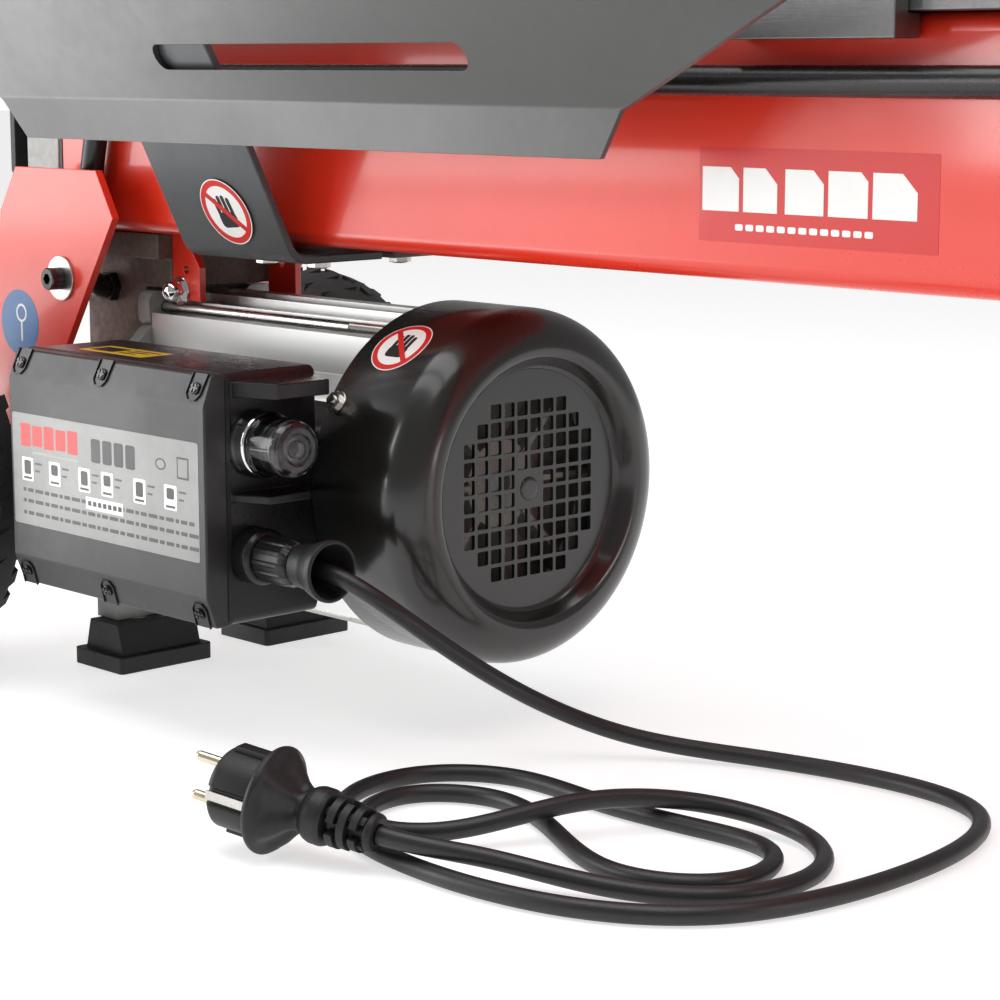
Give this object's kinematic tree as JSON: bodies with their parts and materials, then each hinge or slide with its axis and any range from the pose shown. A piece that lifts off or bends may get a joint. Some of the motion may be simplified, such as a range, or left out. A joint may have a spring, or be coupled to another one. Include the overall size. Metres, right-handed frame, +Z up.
{
  "type": "log splitter",
  "caption": "Horizontal electric hydraulic log splitter with box beam, side trays, wedge, pusher, finned motor, wheels and mains lead.",
  "frame": {"origin": "on the ground under the middle of the machine's overall box, without the mains lead", "axes": "+X along the beam from the wheels to the transport handle, +Z up, -Y the operator's side with the terminal box"},
  "size_m": [1.166, 0.4533, 0.5565],
  "materials": {
    "red_paint": "gloss red enamel",
    "black_powder_coat": "satin black powder coat",
    "grey_powder_coat": "satin anthracite powder coat",
    "black_enamel": "gloss black enamel",
    "cast_iron": "rough casting, painted dark",
    "cast_aluminium": "sand-cast, matt",
    "extruded_aluminium": "extruded, satin",
    "zinc": "zinc plated",
    "bare_steel": "oiled steel",
    "hard_chrome": "polished",
    "black_plastic": "moulded, fine grain",
    "grey_plastic": "moulded, satin",
    "soft_rubber": "soft black rubber",
    "tyre_rubber": "matt tyre rubber",
    "winding": "laminated steel and copper wire"
  },
  "bodies": {
    "machine": {"beam_tank": "red_paint", "axle_plate_near": "red_paint", "axle_plate_far": "red_paint", "mount_plate": "red_paint", "leg_crossplate": "red_paint", "leg_near": "red_paint", "leg_far": "red_paint", "tray_near": "black_powder_coat", "tray_far": "black_powder_coat", "wedge": "black_powder_coat", "tank_cover": "black_powder_coat", "transport_handle": "black_powder_coat", "cylinder_head": "black_powder_coat", "cylinder_cap": "black_powder_coat", "cylinder_saddle": "black_powder_coat", "pressure_pipe": "black_powder_coat", "tray_strap_near": "grey_powder_coat", "tray_strap_far": "grey_powder_coat", "fan_cover": "black_enamel", "pump_body": "cast_iron", "valve_block": "cast_iron", "tank_end_block": "cast_aluminium", "drive_end_shield": "cast_aluminium", "rear_end_shield": "cast_aluminium", "motor_housing": "extruded_aluminium", "axle": "zinc", "tie_bolt_upper_near": "zinc", "tie_bolt_upper_far": "zinc", "tie_bolt_lower_near": "zinc", "tie_bolt_lower_far": "zinc", "guide_plate": "bare_steel", "cylinder_barrel": "bare_steel", "button_collar": "hard_chrome", "terminal_box": "black_plastic", "cable_gland": "black_plastic", "run_capacitor": "black_plastic", "terminal_lid": "grey_plastic", "rubber_foot_near": "soft_rubber", "rubber_foot_far": "soft_rubber", "gland_boot": "soft_rubber", "power_cord": "soft_rubber", "plug": "soft_rubber", "stator": "winding"},
    "ram": {"piston": "bare_steel", "piston_rod": "hard_chrome", "pusher": "red_paint", "pusher_gib_near": "bare_steel", "pusher_gib_far": "bare_steel"},
    "lever": {"control_lever": "black_powder_coat", "lever_knob": "black_plastic"},
    "spool": {"valve_spool": "bare_steel"},
    "button": {"start_button": "black_plastic"},
    "rotor": {"rotor_shaft": "bare_steel", "cooling_fan": "black_plastic", "drive_gear": "bare_steel"},
    "pump_idler": {"driven_gear": "bare_steel"},
    "wheel_near": {"tyre_near": "tyre_rubber", "wheel_rim_near": "zinc"},
    "wheel_far": {"tyre_far": "tyre_rubber", "wheel_rim_far": "zinc"}
  },
  "joints": [
    {"name": "ram_slide", "type": "slide", "parent": "machine", "child": "ram", "axis": [-1, 0, 0], "range_m": [0, 0.37]},
    {"name": "lever_tilt", "type": "hinge", "parent": "machine", "child": "lever", "pos_m": [0.352, -0.084, 0.386], "axis": [0, 1, 0], "range_deg": [-15, 15], "stiffness_Nm_per_rad": 8},
    {"name": "spool_slide", "type": "slide", "parent": "machine", "child": "spool", "axis": [1, 0, 0], "range_m": [-0.008, 0.008]},
    {"name": "start_press", "type": "slide", "parent": "machine", "child": "button", "axis": [-1, 0, 0], "range_m": [0, 0.004], "stiffness_N_per_m": 900},
    {"name": "rotor_spin", "type": "hinge", "parent": "machine", "child": "rotor", "pos_m": [-0.253, 0, 0.132], "axis": [1, 0, 0], "continuous": true},
    {"name": "idler_spin", "type": "hinge", "parent": "machine", "child": "pump_idler", "pos_m": [-0.419, 0, 0.168], "axis": [1, 0, 0], "continuous": true},
    {"name": "wheel_near_spin", "type": "hinge", "parent": "machine", "child": "wheel_near", "pos_m": [-0.473, -0.1615, 0.11], "axis": [0, 1, 0], "continuous": true},
    {"name": "wheel_far_spin", "type": "hinge", "parent": "machine", "child": "wheel_far", "pos_m": [-0.473, 0.1615, 0.11], "axis": [0, 1, 0], "continuous": true}
  ],
  "couplings": [
    {"joint": "spool_slide", "follows": "lever_tilt", "m_per_rad": -0.025},
    {"joint": "idler_spin", "follows": "rotor_spin", "ratio": -1}
  ]
}
